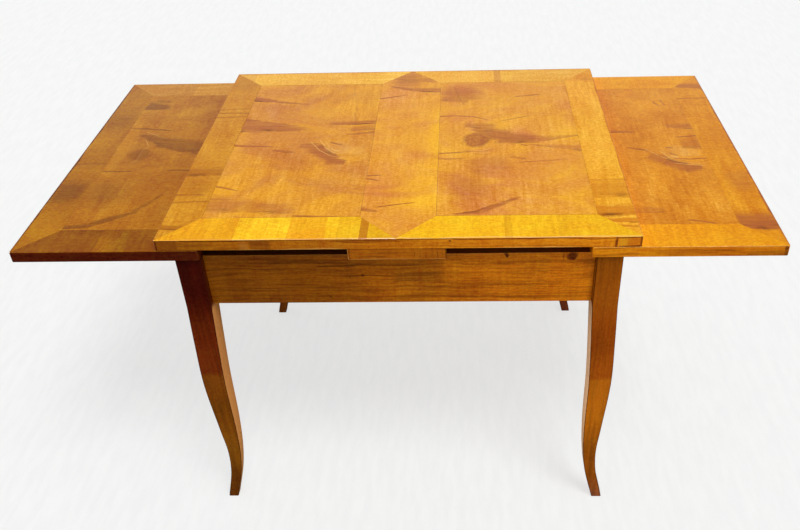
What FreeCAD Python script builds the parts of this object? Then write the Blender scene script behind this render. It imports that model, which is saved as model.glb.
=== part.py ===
import FreeCAD, Part
import os
from FreeCAD import Vector

# Draw leaf table, modelled as the joiner makes it. Millimetres, +Z up.
# Origin: on the floor, midway between the legs. X is the way the leaves
# draw, Y the depth (-Y is the front).
#
# Four sawn sabre legs are mortised for two long and two short aprons. A
# centre board lies across the long aprons and carries the fixed top, which
# leaves a slot on each side of it. Each leaf lies in its slot on a pair of
# bearers, which run through notches in the short apron and the centre rail.

# ---------------------------------------------------------------- driving sizes

TABLE_HEIGHT = 770.0

# fixed top: a cored board, clamped by end cleats and veneered on its face
TOP_LENGTH = 905.0
TOP_DEPTH = 743.0
TOP_THICKNESS = 24.0
CLEAT_WIDTH = 42.0
TONGUE_LENGTH = 8.0
TONGUE_THICKNESS = 7.0
TONGUE_RELIEF = 0.5          # air at the bottom of a cleat's groove
VENEER = 1.0
BORDER_WIDTH = 73.0          # crossbanded border
BAND_WIDTH = 146.0           # band across the middle of the fixed top
BOARD_CORNER = 3.0           # plan radius of a board's corners
BOARD_ARRIS = 0.8            # arris taken off the edges of a board

# leaves, and the centre board that keeps the slots open for them
CENTRE_BOARD_WIDTH = 185.0
LEAF_THICKNESS = 23.0
LEAF_CLEARANCE = 0.5         # air under a leaf
LEAF_HEADROOM = 0.5          # air over it
CLOSING_GAP = 0.5            # between a closed leaf and the centre board
LEAF_OVERLAP = 59.5          # what stays under the fixed top at full draw
LEFT_SHORT_OF_STOP = 19.0    # each leaf stands drawn, this far from its stop
RIGHT_SHORT_OF_STOP = 31.0

# under-frame
FRAME_LENGTH = 846.0         # over the leg posts
FRAME_DEPTH = 732.0
APRON_HEIGHT = 119.0
APRON_THICKNESS = 22.0
APRON_SETBACK = 12.0         # behind the faces of the leg posts
APRON_ARRIS = 1.5
TENON_THICKNESS = 10.0
TENON_HAUNCH = 18.0          # set down from the apron's top edge
TENON_SHOULDER = 8.0         # set up from its bottom edge
TENON_FIT = 0.1              # glue line round a tenon
MITRE_GAP = 1.0              # between the two tenons inside a post

# sabre leg: below its square post it leans out to a knee, thins through calf,
# ankle and shank, and sweeps out along X to the toe. Each level has the side
# of its square section and how far its middle stands out from the post's.
POST = 50.0
THIGH_HEIGHT = 505.0
THIGH_SIDE = 49.0
THIGH_SWEEP = 4.7
KNEE_HEIGHT = 390.0
KNEE_SIDE = 47.0
KNEE_SWEEP = 8.7
CALF_HEIGHT = 240.0
CALF_SIDE = 37.3
CALF_SWEEP = 5.6
ANKLE_HEIGHT = 160.0
ANKLE_SIDE = 29.0
ANKLE_SWEEP = 5.8
SHANK_HEIGHT = 95.0
SHANK_SIDE = 25.0
SHANK_SWEEP = 12.6
TOE_SIDE = 22.5
TOE_SWEEP = 34.0
TOE_SET_IN = 4.0             # the toes stand this much nearer along Y
LEG_ARRIS = 1.6

# bearers, two under each leaf, side by side with those of the other leaf
BEARER_HEIGHT = 40.0
BEARER_WIDTH = 24.0
BEARER_END_SET_BACK = 44.0   # from the leaf's outer edge
BEARER_TAIL_GAP = 37.0       # from the far apron when its leaf is closed
BEARER_DROP = 0.5            # its free length runs this far under the rails' top
BEARER_OFFSET = 190.0        # the right leaf's bearers from the table's middle
BEARER_SPACE = 21.0          # between them and the left leaf's
RUNNING_FIT = 0.5            # each side of a bearer in its notch
SEAT_GAP = 0.3               # between sliding faces that bear on each other
STOP_BLOCK_LENGTH = 20.0
STOP_BLOCK_HEIGHT = 18.0

# centre rail and corner blocks
CENTRE_RAIL_THICKNESS = 22.0
CENTRE_RAIL_UNDER = 35.0     # wood left under the bearers
HOUSING_DEPTH = 6.0
CORNER_BLOCK_HEIGHT = 34.0
CORNER_BLOCK_RISE = 14.0     # above the aprons' bottom edge
CORNER_BLOCK_ARM = 62.0
CORNER_BLOCK_GAP = 0.5       # round the post

# wood screws; a bite is how deep one reaches into the piece that it holds
SHANK_RADIUS = 2.1
HEAD_RADIUS = 4.2
HEAD_HEIGHT = 2.8
SCREW_FIT = 0.05
TOP_SCREW_BITE = 14.0
TOP_SCREW_EDGE = 32.0        # from the sides of the centre board
TOP_SCREW_END = 62.0         # from the long aprons
BEARER_SCREW_BITE = 15.0
BEARER_SCREW_END = 50.0      # from the leaf's inner edge and the bearer's end

# ------------------------------------------------------------- derived levels

top_underside = TABLE_HEIGHT - TOP_THICKNESS
slot_height = LEAF_CLEARANCE + LEAF_THICKNESS + LEAF_HEADROOM
rail_top = top_underside - slot_height
apron_bottom = rail_top - APRON_HEIGHT
leaf_underside = rail_top + LEAF_CLEARANCE
leaf_face = leaf_underside + LEAF_THICKNESS
bearer_top = rail_top - BEARER_DROP
bearer_underside = bearer_top - BEARER_HEIGHT
notch_bottom = bearer_underside - SEAT_GAP

half_top = TOP_LENGTH / 2
half_depth = TOP_DEPTH / 2
half_board = CENTRE_BOARD_WIDTH / 2
leaf_inner = half_board + CLOSING_GAP
full_draw = half_top - LEAF_OVERLAP - leaf_inner

post_x = (FRAME_LENGTH - POST) / 2
post_y = (FRAME_DEPTH - POST) / 2
post_inner_x = post_x - POST / 2
post_inner_y = post_y - POST / 2
long_apron_face = FRAME_DEPTH / 2 - APRON_SETBACK
long_apron_back = long_apron_face - APRON_THICKNESS
short_apron_face = FRAME_LENGTH / 2 - APRON_SETBACK
short_apron_back = short_apron_face - APRON_THICKNESS
tenon_x = (short_apron_face + short_apron_back) / 2
tenon_y = (long_apron_face + long_apron_back) / 2
tenon_bottom = apron_bottom + TENON_SHOULDER
tenon_top = rail_top - TENON_HAUNCH

left_bearer_offset = BEARER_OFFSET + BEARER_WIDTH + BEARER_SPACE
bearer_outer = half_top - BEARER_END_SET_BACK
bearer_inner = BEARER_TAIL_GAP - short_apron_back
centre_rail_bottom = notch_bottom - CENTRE_RAIL_UNDER
top_screw_length = slot_height + TOP_SCREW_BITE
bearer_screw_length = leaf_underside - bearer_underside + BEARER_SCREW_BITE

ORIGIN = Vector(0, 0, 0)
ALONG_X = Vector(1, 0, 0)
ALONG_Y = Vector(0, 1, 0)
UP = Vector(0, 0, 1)

# -------------------------------------------------------------------- helpers


def block(x0, x1, y0, y1, z0, z1):
    """A square-edged piece between two corners."""
    return Part.makeBox(x1 - x0, y1 - y0, z1 - z0, Vector(x0, y0, z0))


def sheet(corners, z0, z1):
    """A flat piece of the given plan, from z0 up to z1."""
    points = [Vector(x, y, z0) for x, y in corners]
    face = Part.Face(Part.makePolygon(points + points[:1]))
    return face.extrude(Vector(0, 0, z1 - z0))


def other_side(shape):
    """The same piece at the other end of the table."""
    return shape.mirror(ORIGIN, ALONG_X)


def front_side(shape):
    """The same piece at the front of the table."""
    return shape.mirror(ORIGIN, ALONG_Y)


def slid(shape, distance):
    """The piece moved along X."""
    moved = shape.copy()
    moved.translate(Vector(distance, 0, 0))
    return moved


def cut_all(shape, tools):
    for tool in tools:
        shape = shape.cut(tool)
    return shape


def save(name, *solids):
    """One STEP file per node; a node of several solids is a compound."""
    shape = solids[0] if len(solids) == 1 else Part.makeCompound(list(solids))
    shape.exportStep("parts/" + name + ".step")


def screw(seat, length, fit=0.0):
    """Countersunk wood screw driven up from seat, its head flush there."""
    wide = HEAD_RADIUS + fit
    narrow = SHANK_RADIUS + fit
    head = Part.makeCone(wide, narrow, HEAD_HEIGHT, seat)
    neck = seat + UP * HEAD_HEIGHT
    return head.fuse(Part.makeCylinder(narrow, length + fit - HEAD_HEIGHT, neck))


def screw_hole(seat, length):
    """The hole that a screw sits in."""
    return screw(seat, length, SCREW_FIT)


# ----------------------------------------------------------------------- legs


def leg_section(height, side, sweep, set_in):
    """A square section of the leg, its four corners eased, as a wire."""
    half = side / 2
    eased = half - LEG_ARRIS
    corners = [
        (half, -eased), (half, eased), (eased, half), (-eased, half),
        (-half, eased), (-half, -eased), (-eased, -half), (eased, -half),
    ]
    points = [Vector(post_x + sweep + x, post_y - set_in + y, height) for x, y in corners]
    return Part.makePolygon(points + points[:1])


def mitred_plans(fit, mitre_gap):
    """Plans of the two tenons that meet in the back right post.

    The first comes from the long apron, the second from the short one. Their
    ends are mitred, so that both reach past the middle of the post.
    """
    half = TENON_THICKNESS / 2 + fit
    far_x = tenon_x + half - mitre_gap
    far_y = tenon_y + half - mitre_gap
    long_plan = [
        (post_inner_x, tenon_y + half),
        (far_x, tenon_y + half),
        (far_x - 2 * half, tenon_y - half),
        (post_inner_x, tenon_y - half),
    ]
    short_plan = [
        (tenon_x + half, post_inner_y),
        (tenon_x + half, far_y),
        (tenon_x - half, far_y - 2 * half),
        (tenon_x - half, post_inner_y),
    ]
    return long_plan, short_plan


def make_leg():
    """The back right leg, with its two mortises."""
    levels = [
        (apron_bottom, POST, 0.0),
        (THIGH_HEIGHT, THIGH_SIDE, THIGH_SWEEP),
        (KNEE_HEIGHT, KNEE_SIDE, KNEE_SWEEP),
        (CALF_HEIGHT, CALF_SIDE, CALF_SWEEP),
        (ANKLE_HEIGHT, ANKLE_SIDE, ANKLE_SWEEP),
        (SHANK_HEIGHT, SHANK_SIDE, SHANK_SWEEP),
        (0.0, TOE_SIDE, TOE_SWEEP),
    ]
    sections = []
    for height, side, sweep in levels:
        set_in = TOE_SET_IN * (1 - height / apron_bottom)
        sections.append(leg_section(height, side, sweep, set_in))
    swept = Part.makeLoft(sections, True, False)
    post = Part.Face(sections[0]).extrude(Vector(0, 0, rail_top - apron_bottom))
    leg = post.fuse(swept)
    for plan in mitred_plans(TENON_FIT, 0.0):
        leg = leg.cut(sheet(plan, tenon_bottom - TENON_FIT, tenon_top + TENON_FIT))
    return leg


# --------------------------------------------------------------------- aprons


def eased_below(shape):
    """The apron with its two lower long arrises taken off."""
    edges = []
    for edge in shape.Edges:
        highest = max(vertex.Z for vertex in edge.Vertexes)
        if highest < apron_bottom + APRON_ARRIS and edge.Length > APRON_HEIGHT:
            edges.append(edge)
    return shape.makeChamfer(APRON_ARRIS, edges)


def make_long_apron():
    """The back apron: tenoned into two posts, housed for the centre rail."""
    body = block(-post_inner_x, post_inner_x, long_apron_back, long_apron_face, apron_bottom, rail_top)
    apron = eased_below(body)
    tenon = sheet(mitred_plans(0.0, MITRE_GAP)[0], tenon_bottom, tenon_top)
    apron = apron.fuse([tenon, other_side(tenon)]).removeSplitter()
    half_rail = CENTRE_RAIL_THICKNESS / 2
    housing_end = long_apron_back + HOUSING_DEPTH
    housing = block(-half_rail, half_rail, long_apron_back, housing_end, centre_rail_bottom, rail_top)
    return apron.cut(housing)


def bearer_notch(x0, x1, offset):
    """The notch that a bearer runs in, from x0 to x1, open at its top."""
    half = BEARER_WIDTH / 2 + RUNNING_FIT
    return block(x0, x1, offset - half, offset + half, notch_bottom, rail_top)


def make_short_apron(bearer_offset):
    """The right apron: tenoned into two posts, notched for two bearers."""
    body = block(short_apron_back, short_apron_face, -post_inner_y, post_inner_y, apron_bottom, rail_top)
    apron = eased_below(body)
    tenon = sheet(mitred_plans(0.0, MITRE_GAP)[1], tenon_bottom, tenon_top)
    apron = apron.fuse([tenon, front_side(tenon)]).removeSplitter()
    notch = bearer_notch(short_apron_back, short_apron_face, bearer_offset)
    return cut_all(apron, [notch, front_side(notch)])


# ---------------------------------------------------- centre rail and blocks


def make_centre_rail():
    """Housed between the long aprons and notched for all four bearers."""
    half = CENTRE_RAIL_THICKNESS / 2
    reach = long_apron_back + HOUSING_DEPTH
    rail = block(-half, half, -reach, reach, centre_rail_bottom, rail_top)
    for offset in (BEARER_OFFSET, left_bearer_offset):
        notch = bearer_notch(-half, half, offset)
        rail = cut_all(rail, [notch, front_side(notch)])
    return rail


def make_corner_block():
    """The back right block, glued into the corner behind its post."""
    near_x = post_inner_x - CORNER_BLOCK_GAP
    near_y = post_inner_y - CORNER_BLOCK_GAP
    plan = [
        (near_x, long_apron_back),
        (post_inner_x - CORNER_BLOCK_ARM, long_apron_back),
        (short_apron_back, post_inner_y - CORNER_BLOCK_ARM),
        (short_apron_back, near_y),
        (near_x, near_y),
    ]
    bottom = apron_bottom + CORNER_BLOCK_RISE
    return sheet(plan, bottom, bottom + CORNER_BLOCK_HEIGHT)


# --------------------------------------------------------------- centre board


def top_screw_seats():
    """Screws up through the centre board into the top, either side of the rail."""
    x = half_board - TOP_SCREW_EDGE
    y = long_apron_back - TOP_SCREW_END
    return [Vector(-x, -y, rail_top), Vector(x, y, rail_top)]


def make_centre_board():
    """Lies across the long aprons; its ends are flush with the top's edges."""
    board = block(-half_board, half_board, -half_depth, half_depth, rail_top, top_underside)
    return cut_all(board, [screw_hole(seat, top_screw_length) for seat in top_screw_seats()])


# ---------------------------------------------------------- veneered boards


def eased_board(x0, x1, z0, z1):
    """The outside of a finished board: corners rounded, then arrises taken off."""
    board = block(x0, x1, -half_depth, half_depth, z0, z1)
    board = board.makeFillet(BOARD_CORNER, [edge for edge in board.Edges if is_upright(edge)])
    return board.makeChamfer(BOARD_ARRIS, [edge for edge in board.Edges if not is_upright(edge)])


def is_upright(edge):
    ends = [vertex.Z for vertex in edge.Vertexes]
    return max(ends) > min(ends)


def tongue(x_edge, direction, reach, z0, z1):
    """A tongue on a core's end, or the groove for it, standing out along X."""
    middle = (z0 + z1) / 2
    ends = sorted((x_edge, x_edge + direction * reach))
    side = half_depth - 2 * BOARD_CORNER
    return block(ends[0], ends[1], -side, side, middle - TONGUE_THICKNESS / 2, middle + TONGUE_THICKNESS / 2)


def clamped_core(x0, x1, z0, z1):
    """A core and its two end cleats: (core, cleat at x0, cleat at x1)."""
    core_start = x0 + CLEAT_WIDTH
    core_end = x1 - CLEAT_WIDTH
    core = block(core_start, core_end, -half_depth, half_depth, z0, z1)
    tongues = [tongue(core_start, -1, TONGUE_LENGTH, z0, z1), tongue(core_end, 1, TONGUE_LENGTH, z0, z1)]
    core = core.fuse(tongues)
    deep = TONGUE_LENGTH + TONGUE_RELIEF
    first = block(x0, core_start, -half_depth, half_depth, z0, z1).cut(tongue(core_start, -1, deep, z0, z1))
    last = block(core_end, x1, -half_depth, half_depth, z0, z1).cut(tongue(core_end, 1, deep, z0, z1))
    return core.removeSplitter(), first, last


def make_top():
    """The fixed top: core, cleats and nine pieces of veneer, by name."""
    outside = eased_board(-half_top, half_top, top_underside, TABLE_HEIGHT)
    ground = TABLE_HEIGHT - VENEER
    core, left_cleat, right_cleat = clamped_core(-half_top, half_top, top_underside, ground)
    core = cut_all(core, [screw_hole(seat, top_screw_length) for seat in top_screw_seats()])
    inner_x = half_top - BORDER_WIDTH
    inner_y = half_depth - BORDER_WIDTH
    band = BAND_WIDTH / 2
    plans = {
        "top_band_veneer": [
            (0, -half_depth), (band, -inner_y), (band, inner_y),
            (0, half_depth), (-band, inner_y), (-band, -inner_y),
        ],
    }
    for side, sign in (("left", -1), ("right", 1)):
        plans["top_panel_veneer_" + side] = [
            (sign * band, -inner_y), (sign * inner_x, -inner_y),
            (sign * inner_x, inner_y), (sign * band, inner_y),
        ]
        plans["top_border_veneer_" + side] = [
            (sign * half_top, -half_depth), (sign * half_top, half_depth),
            (sign * inner_x, inner_y), (sign * inner_x, -inner_y),
        ]
        for end, turn in (("front", -1), ("back", 1)):
            plans["top_border_veneer_" + end + "_" + side] = [
                (0, turn * half_depth), (sign * half_top, turn * half_depth),
                (sign * inner_x, turn * inner_y), (sign * band, turn * inner_y),
            ]
    pieces = {"top_core": core, "top_cleat_left": left_cleat, "top_cleat_right": right_cleat}
    for name, plan in plans.items():
        pieces[name] = sheet(plan, ground, TABLE_HEIGHT)
    return {name: piece.common(outside) for name, piece in pieces.items()}


# --------------------------------------------------------------------- leaves


def bearer_screw_seats(offset):
    """Screws up through one bearer into the closed right leaf."""
    first = leaf_inner + BEARER_SCREW_END
    last = bearer_outer - BEARER_SCREW_END
    return [Vector(first, offset, bearer_underside), Vector(last, offset, bearer_underside)]


def make_bearer(offset):
    """A bearer of the closed right leaf, eased down past the leaf's inner edge."""
    near = offset - BEARER_WIDTH / 2
    far = offset + BEARER_WIDTH / 2
    bearer = block(bearer_inner, bearer_outer, near, far, bearer_underside, leaf_underside)
    relief = block(bearer_inner, leaf_inner + CLOSING_GAP, near, far, bearer_top, leaf_underside)
    holes = [screw_hole(seat, bearer_screw_length) for seat in bearer_screw_seats(offset)]
    return cut_all(bearer, [relief] + holes)


def make_stop_block(offset):
    """Glued under a bearer; it meets the short apron at full draw."""
    outer = short_apron_back - SEAT_GAP - full_draw
    near = offset - BEARER_WIDTH / 2
    far = offset + BEARER_WIDTH / 2
    return block(outer - STOP_BLOCK_LENGTH, outer, near, far,
                 bearer_underside - STOP_BLOCK_HEIGHT, bearer_underside)


def make_leaf(offset):
    """The right leaf, closed, with its bearers at +-offset: solids by name."""
    outside = eased_board(leaf_inner, half_top, leaf_underside, leaf_face)
    ground = leaf_face - VENEER
    core, inner_cleat, outer_cleat = clamped_core(leaf_inner, half_top, leaf_underside, ground)
    inner_x = half_top - BORDER_WIDTH
    inner_y = half_depth - BORDER_WIDTH
    plans = {
        "panel_veneer": [
            (leaf_inner, -inner_y), (inner_x, -inner_y), (inner_x, inner_y), (leaf_inner, inner_y),
        ],
        "border_veneer_outer": [
            (half_top, -half_depth), (half_top, half_depth), (inner_x, inner_y), (inner_x, -inner_y),
        ],
    }
    for end, turn in (("front", -1), ("back", 1)):
        plans["border_veneer_" + end] = [
            (leaf_inner, turn * half_depth), (half_top, turn * half_depth),
            (inner_x, turn * inner_y), (leaf_inner, turn * inner_y),
        ]
    boards = {"core": core, "cleat_inner": inner_cleat, "cleat_outer": outer_cleat}
    for name, plan in plans.items():
        boards[name] = sheet(plan, ground, leaf_face)
    leaf = {name: [board.common(outside)] for name, board in boards.items()}
    screws = []
    stops = []
    for end, y in (("front", -offset), ("back", offset)):
        leaf["bearer_" + end] = [make_bearer(y)]
        stops.append(make_stop_block(y))
        for seat in bearer_screw_seats(y):
            screws.append(screw(seat, bearer_screw_length))
            leaf["core"] = [leaf["core"][0].cut(screw_hole(seat, bearer_screw_length))]
    leaf["stop_blocks"] = stops
    leaf["bearer_screws"] = screws
    return leaf


# ----------------------------------------------------------- the whole table

os.makedirs("parts", exist_ok=True)

leg = make_leg()
corner_block = make_corner_block()
for side in ("left", "right"):
    for end in ("front", "back"):
        pieces = [leg, corner_block]
        if side == "left":
            pieces = [other_side(piece) for piece in pieces]
        if end == "front":
            pieces = [front_side(piece) for piece in pieces]
        save("leg_" + end + "_" + side, pieces[0])
        save("corner_block_" + end + "_" + side, pieces[1])

long_apron = make_long_apron()
save("apron_back", long_apron)
save("apron_front", front_side(long_apron))
save("apron_right", make_short_apron(BEARER_OFFSET))
save("apron_left", other_side(make_short_apron(left_bearer_offset)))
save("centre_rail", make_centre_rail())

save("centre_board", make_centre_board())
save("top_screws", *[screw(seat, top_screw_length) for seat in top_screw_seats()])

for name, piece in make_top().items():
    save(name, piece)

right_draw = full_draw - RIGHT_SHORT_OF_STOP
for name, pieces in make_leaf(BEARER_OFFSET).items():
    save("right_leaf_" + name, *[slid(piece, right_draw) for piece in pieces])
left_draw = full_draw - LEFT_SHORT_OF_STOP
for name, pieces in make_leaf(left_bearer_offset).items():
    save("left_leaf_" + name, *[slid(other_side(piece), -left_draw) for piece in pieces])
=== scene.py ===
from math import cos, pi, radians, sin

import bpy
import numpy as np
from mathutils import Matrix, Vector


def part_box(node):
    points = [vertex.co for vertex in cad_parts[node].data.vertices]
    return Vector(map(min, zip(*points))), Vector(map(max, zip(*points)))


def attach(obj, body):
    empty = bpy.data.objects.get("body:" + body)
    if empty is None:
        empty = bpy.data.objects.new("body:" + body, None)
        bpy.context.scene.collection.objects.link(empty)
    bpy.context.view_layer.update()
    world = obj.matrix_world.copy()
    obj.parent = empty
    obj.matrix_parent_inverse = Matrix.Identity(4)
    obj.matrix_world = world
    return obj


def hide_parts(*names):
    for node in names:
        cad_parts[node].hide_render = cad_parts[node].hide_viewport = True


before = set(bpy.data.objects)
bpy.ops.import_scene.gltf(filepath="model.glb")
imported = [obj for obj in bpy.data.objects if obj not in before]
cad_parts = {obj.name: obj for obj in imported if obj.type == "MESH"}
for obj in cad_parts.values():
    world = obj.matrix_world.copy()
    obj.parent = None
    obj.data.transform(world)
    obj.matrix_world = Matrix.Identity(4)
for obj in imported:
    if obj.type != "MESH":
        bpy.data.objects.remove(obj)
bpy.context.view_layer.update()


# ---------------------------------------------------------------- legs
# Four sabre legs, sawn from solid stock with the grain running straight down
# them, so that the swept outline cuts across it. The posts are square, the
# arrises are eased by hand, and the stain is darker and redder than the top's.
# Painted light and shade lie over the stain: the shadows of the top and the
# leaves on the upper legs, a front left leg painted darker than the right one,
# dark arrises, and pale inner faces on the front legs.


def srgb(red, green, blue):
    """A colour as a stain card gives it, 0 to 255 a channel, turned to linear light."""
    share = np.array([red, green, blue]) / 255
    linear = np.where(share > 0.04045, ((share + 0.055) / 1.055) ** 2.4, share / 12.92)
    return (*linear.tolist(), 1)


def connect(node, inputs):
    """Each input of a node, given by its name or number, takes a link or a plain value."""
    for name, value in inputs.items():
        if isinstance(value, bpy.types.NodeSocket):
            node.id_data.links.new(value, node.inputs[name])
        else:
            node.inputs[name].default_value = value


def put(kind, inputs=(), tree=None, **settings):
    """A new node, in the tree that its links come from, or else in the given one."""
    inputs = dict(inputs)
    linked = [value.id_data for value in inputs.values() if isinstance(value, bpy.types.NodeSocket)]
    made = (tree or linked[0]).nodes.new("ShaderNode" + kind)
    for name, value in settings.items():
        setattr(made, name, value)
    connect(made, inputs)
    return made


def maths(operation, *values, **settings):
    """The result of a Math node on one to three values."""
    return put("Math", enumerate(values), operation=operation, **settings).outputs[0]


def times(*values):
    """The first value times the second, plus the third where there is one."""
    return maths("MULTIPLY_ADD" if len(values) == 3 else "MULTIPLY", *values)


def vectors(operation, *values):
    """The result of a Vector Math node: a vector, or the number that some of them give."""
    result = "Value" if operation in ("LENGTH", "DOT_PRODUCT") else "Vector"
    return put("VectorMath", enumerate(values), operation=operation).outputs[result]


def scaled(colour, strength):
    """The colour with all three channels multiplied by the same strength."""
    return put("VectorMath", {0: colour, "Scale": strength}, operation="SCALE").outputs[0]


def stretched(vector, along, across=1, through=1):
    """The vector with its three directions multiplied, so that noise on it is drawn out."""
    return vectors("MULTIPLY", vector, (along, across, through))


def split(vector):
    """The X, Y and Z of a vector."""
    return put("SeparateXYZ", {0: vector}).outputs


def blended(share, first, second, how="MIX"):
    """Two colours mixed by a share, a mask or a plain number. A colour is a link, or
    red, green and blue from 0 to 255."""
    first, second = (srgb(*tone) if isinstance(tone, tuple) else tone for tone in (first, second))
    inputs = {"Factor": share, 6: first, 7: second}
    return put("Mix", inputs, data_type="RGBA", blend_type=how).outputs[2]


def faded(value, low, high, start=0, end=1):
    """The value carried smoothly from start, at or under low, to end, at or over high."""
    inputs = {"Value": value, 1: low, 2: high, 3: start, 4: end}
    return put("MapRange", inputs, interpolation_type="SMOOTHSTEP").outputs[0]


def lit(colour, step):
    """The colour a step lighter or darker in each channel, as the eye counts steps."""
    seen = put("Gamma", {0: colour, 1: 1 / EYE}).outputs[0]
    reach = vectors("MULTIPLY_ADD", seen, STEP_GROWTH, LIGHT_STEP)
    seen = vectors("MAXIMUM", vectors("ADD", seen, scaled(reach, step)), ORIGIN)
    return put("Gamma", {0: seen, 1: EYE}).outputs[0]


def clouds(vector, scale, detail=2, roughness=0.5, distortion=0):
    """Soft noise from 0 to 1 over a vector in metres, scale lumps to the metre."""
    inputs = {"Vector": vector, "Scale": scale, "Detail": detail, "Roughness": roughness}
    return put("TexNoise", {**inputs, "Distortion": distortion}).outputs[0]


def swaying(vector, scale, detail):
    """Noise in three directions at once, from about -0.5 to 0.5 in each."""
    noise = put("TexNoise", {"Vector": vector, "Scale": scale, "Detail": detail}).outputs[1]
    return vectors("SUBTRACT", noise, (0.5, 0.5, 0.5))


def bumped(height, strength, depth):
    """The normal of a surface that rises by a height from 0 to 1, times a depth in metres."""
    return put("Bump", {"Height": height, "Strength": strength, "Distance": depth}).outputs[0]


def effect(name, inputs, outputs):
    """An empty shader node group, and its inputs, each of which has a name and a default."""
    group = bpy.data.node_groups.new(name, "ShaderNodeTree")
    for label, value in inputs.items():
        kind = "NodeSocketVector" if isinstance(value, tuple) else "NodeSocketFloat"
        group.interface.new_socket(label, in_out="INPUT", socket_type=kind).default_value = value
    for label in outputs:
        kind = "NodeSocketVector" if label == "Vector" else "NodeSocketFloat"
        group.interface.new_socket(label, in_out="OUTPUT", socket_type=kind)
    return group, group.nodes.new("NodeGroupInput").outputs[:len(inputs)]


def give_out(group, **results):
    """The group with each result led to its output of that name."""
    connect(group.nodes.new("NodeGroupOutput"), results)
    return group


def use(group, **inputs):
    """The group placed in a material with its own values; returns its outputs."""
    named = {name.replace("_", " "): value for name, value in inputs.items()}
    return put("Group", named, node_tree=group).outputs


def make_grain():
    """Long grain: growth lines are noise drawn out along X, clouds broader noise, and pores
    the peaks of much finer noise, cut to short dashes. Curl is noise drawn out across the
    grain, threads on waves on bands, as light catches wavy fibres; flecks are the fine
    sparkle between them, from about -1 to 1."""
    inputs = {"Vector": ORIGIN, "Lines per metre": 160, "Wander": 0.006}
    group, given = effect("long grain", inputs, ["Lines", "Clouds", "Pores", "Curl", "Flecks"])
    straight, lines_per_metre, wander = given
    sway = scaled(swaying(stretched(straight, 1, 2, 2), 5, 2), wander)
    board = vectors("ADD", straight, sway)
    lines = clouds(stretched(board, 0.04), lines_per_metre, 4, 0.65)
    patches = clouds(stretched(board, 0.7), 8, 6, 0.62, 0.8)
    dashes = clouds(stretched(board, 0.12), 700, 1)
    threads = clouds(stretched(board, 1, 0.05, 0.05), 250, 3, 0.7)
    waves = clouds(stretched(board, 1, 0.15, 0.15), 70, 2, 0.6)
    bands = clouds(stretched(board, 1, 0.4, 0.4), 17, 2, 0.5)
    sparkle = clouds(stretched(straight, 0.6), 230, 4, 0.8)
    where = faded(clouds(board, 7, 2), 0.35, 0.65, 0.35, 1)
    curl = times(bands, 0.6, times(threads, 0.9, times(waves, 0.7)))
    return give_out(
        group, Lines=faded(lines, 0.35, 0.68), Clouds=faded(patches, 0.34, 0.66),
        Pores=faded(dashes, 0.68, 0.78), Curl=times(maths("SUBTRACT", curl, 1.1), where),
        Flecks=faded(sparkle, 0.25, 0.75, -1, 1),
    )


def make_polish():
    """French polish: roughness drifts with handling, and dull spots are peaks of noise."""
    inputs = {"Vector": ORIGIN, "Dullness": 0.3}
    group, (place, dullness) = effect("polish", inputs, ["Roughness", "Coat", "Height"])
    scuffs = faded(clouds(stretched(place, 1, 3, 1), 60, 4, 0.7), 0.6, 0.75)
    spread = times(clouds(place, 7, 4, 0.6), 0.22, maths("SUBTRACT", dullness, 0.11))
    return give_out(
        group, Roughness=times(scuffs, 0.12, spread), Coat=times(scuffs, -0.35, 0.7),
        Height=clouds(place, 45, 2),
    )


ORIGIN = (0, 0, 0)
GRAIN = make_grain()
POLISH = make_polish()
EYE = 2.2
LIGHT_STEP = (0.65, 1, 0.1)
STEP_GROWTH = (0, 0, 5.5)
CURL_LIGHT = 0.3
FLECK_LIGHT, FLECKS_WITH_CURL = 0.03, 0.065
PORE = (90, 40, 8)
PORE_DARKNESS = 0.3
CLOUDINESS = 0.6
GRAIN_DEPTH = 0.0004


def start_material(name):
    """A material, its empty Principled shader, and the piece's own place and normal."""
    material = bpy.data.materials.new(name)
    material.use_nodes = True
    piece = put("TexCoord", tree=material.node_tree).outputs
    return material, material.node_tree.nodes["Principled BSDF"], piece["Object"], piece["Normal"]


def grain_colour(vector, axis, pale, deep, lines, growth, curl, wander=0.006, wash=0):
    """The colour of long grain that runs along an axis, the height of its lines, and the
    lines themselves. Growth and curl say how strongly each of the two shows, and wash
    how much deeper the wood is than halfway."""
    turns = {"X": ORIGIN, "Y": (0, 0, -pi / 2), "Z": (0, pi / 2, 0)}
    board = put("Mapping", {"Vector": vector, "Rotation": turns[axis]}).outputs[0]
    grain = use(GRAIN, Vector=board, Lines_per_metre=lines, Wander=wander)
    even = (1 - growth) * (1 - CLOUDINESS) / 2
    share = times(grain["Lines"], growth, maths("ADD", wash, even, tree=vector.id_data))
    share = times(grain["Clouds"], (1 - growth) * CLOUDINESS, share)
    shine = times(grain["Flecks"], FLECK_LIGHT + FLECKS_WITH_CURL * curl)
    shine = times(grain["Curl"], CURL_LIGHT * curl, shine)
    colour = lit(blended(share, pale, deep), shine)
    colour = blended(times(grain["Pores"], PORE_DARKNESS), colour, PORE)
    return colour, maths("SUBTRACT", grain["Lines"], grain["Pores"]), grain["Lines"]


def drifting(value, tones, steps="EASE"):
    """A colour or a tone that changes with a value, through (value in mm, tone) rows."""
    start, stop = tones[0][0], tones[-1][0]
    share = put("MapRange", {"Value": value, 1: start / 1000, 2: stop / 1000}).outputs[0]
    ramp = put("ValToRGB", {0: share})
    stops = ramp.color_ramp.elements
    ramp.color_ramp.interpolation = steps
    while len(stops) < len(tones):
        stops.new(1)
    for stop_point, (place, tone) in zip(stops, tones):
        stop_point.position = (place - start) / (stop - start)
        stop_point.color = tone if isinstance(tone, tuple) else (tone, tone, tone, 1)
    return ramp.outputs[0]


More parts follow.
